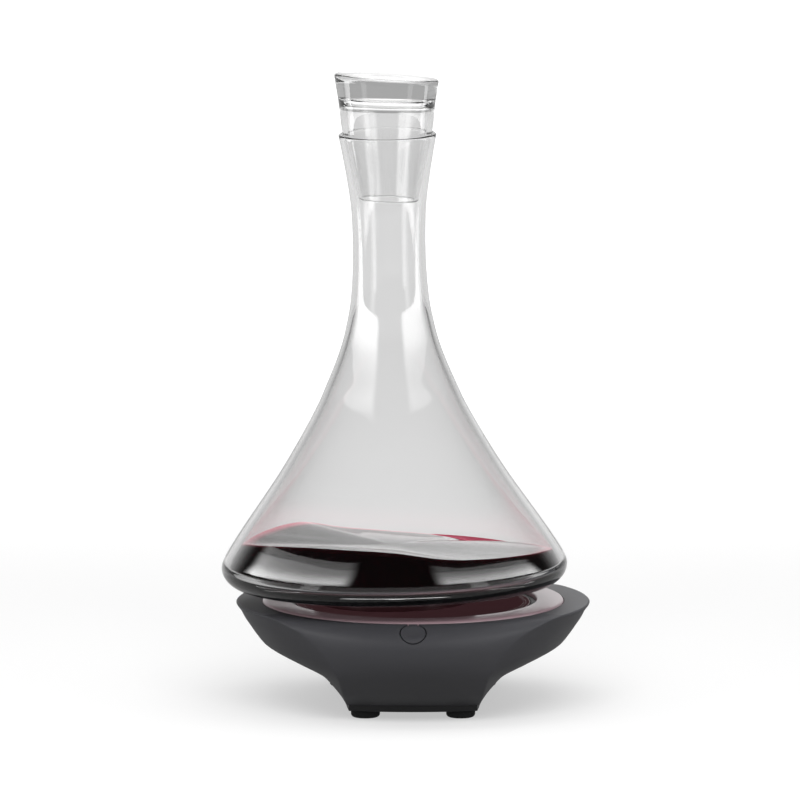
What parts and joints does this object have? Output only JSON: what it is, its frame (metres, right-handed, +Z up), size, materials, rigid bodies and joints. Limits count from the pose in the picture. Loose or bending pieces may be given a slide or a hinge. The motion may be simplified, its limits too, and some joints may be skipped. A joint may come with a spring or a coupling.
{
  "type": "aerating wine decanter",
  "caption": "Conical glass decanter with a loose hollow stopper, holding red wine and swirled in a small circle by a round motorised base with a light ring.",
  "frame": {"origin": "on the floor, under the middle of the whole box round base and decanter; the base's own axis is 4.5 mm towards +X", "axes": "+Z up, the front with the power button towards -Y, +X to the right seen from the front"},
  "size_m": [0.2236, 0.2142, 0.3856],
  "materials": {
    "charcoal_abs": "satin, softly reflecting",
    "black_abs": "fine matt",
    "foot_rubber": "matt",
    "steel": "plain",
    "frosted_acrylic": "polished top over a frosted body",
    "white_board": "solder mask",
    "green_board": "solder mask",
    "bronze": "machined",
    "acetal": "moulded",
    "dark_plastic": "satin",
    "silicone": "matt",
    "clear_glass": "polished",
    "red_wine": "clear dark red liquid"
  },
  "bodies": {
    "base": {"upper_housing": "charcoal_abs", "bottom_cover": "black_abs", "foot_front_left": "foot_rubber", "foot_front_right": "foot_rubber", "foot_rear_left": "foot_rubber", "foot_rear_right": "foot_rubber", "foot_screw_front_left": "steel", "foot_screw_front_right": "steel", "foot_screw_rear_left": "steel", "foot_screw_rear_right": "steel", "inner_frame": "black_abs", "frame_screw_1": "steel", "frame_screw_2": "steel", "frame_screw_3": "steel", "frame_screw_4": "steel", "light_ring": "frosted_acrylic", "light_board": "white_board", "button_board": "green_board", "power_inlet": "black_abs", "control_board": "green_board", "motor_bracket": "steel", "bracket_screw_left": "steel", "bracket_screw_right": "steel", "motor_can": "steel", "motor_screw_left": "steel", "motor_screw_right": "steel", "upper_bearing": "bronze", "lower_bearing": "bronze"},
    "button": {"power_button": "charcoal_abs"},
    "motor_rotor": {"motor_shaft": "steel", "motor_pinion": "bronze"},
    "swirl_drive": {"drive_spindle": "steel", "drive_gear": "acetal", "swirl_disc": "dark_plastic", "balance_weight": "steel", "weight_screw_front": "steel", "weight_screw_rear": "steel", "crank_pin": "steel"},
    "seat": {"seat_bearing": "bronze", "seat_tray": "dark_plastic", "seat_pad": "silicone"},
    "decanter": {"glass_decanter": "clear_glass", "wine": "red_wine"},
    "stopper": {"glass_stopper": "clear_glass"}
  },
  "joints": [
    {"name": "swirl_turn", "type": "hinge", "parent": "base", "child": "swirl_drive", "pos_m": [0.0045, 0, 0], "axis": [0, 0, 1], "continuous": true},
    {"name": "seat_turn", "type": "hinge", "parent": "swirl_drive", "child": "seat", "pos_m": [-0.0068, 0, 0.0837], "axis": [-0.0161, 0, 0.9999], "continuous": true},
    {"name": "motor_turn", "type": "hinge", "parent": "base", "child": "motor_rotor", "pos_m": [0.0045, 0.028, 0], "axis": [0, 0, 1], "continuous": true},
    {"name": "decanter_lift", "type": "slide", "parent": "seat", "child": "decanter", "axis": [-0.0161, 0, 0.9999], "range_m": [0, 0.12]},
    {"name": "stopper_lift", "type": "slide", "parent": "decanter", "child": "stopper", "axis": [-0.0161, 0, 0.9999], "range_m": [0, 0.1]},
    {"name": "power_button_press", "type": "hinge", "parent": "base", "child": "button", "pos_m": [0.0045, -0.0925, 0.0605], "axis": [1, 0, 0], "range_deg": [0, 3.5], "stiffness_Nm_per_rad": 0.3}
  ],
  "couplings": [
    {"joint": "seat_turn", "follows": "swirl_turn", "ratio": -1},
    {"joint": "motor_turn", "follows": "swirl_turn", "ratio": -4}
  ]
}
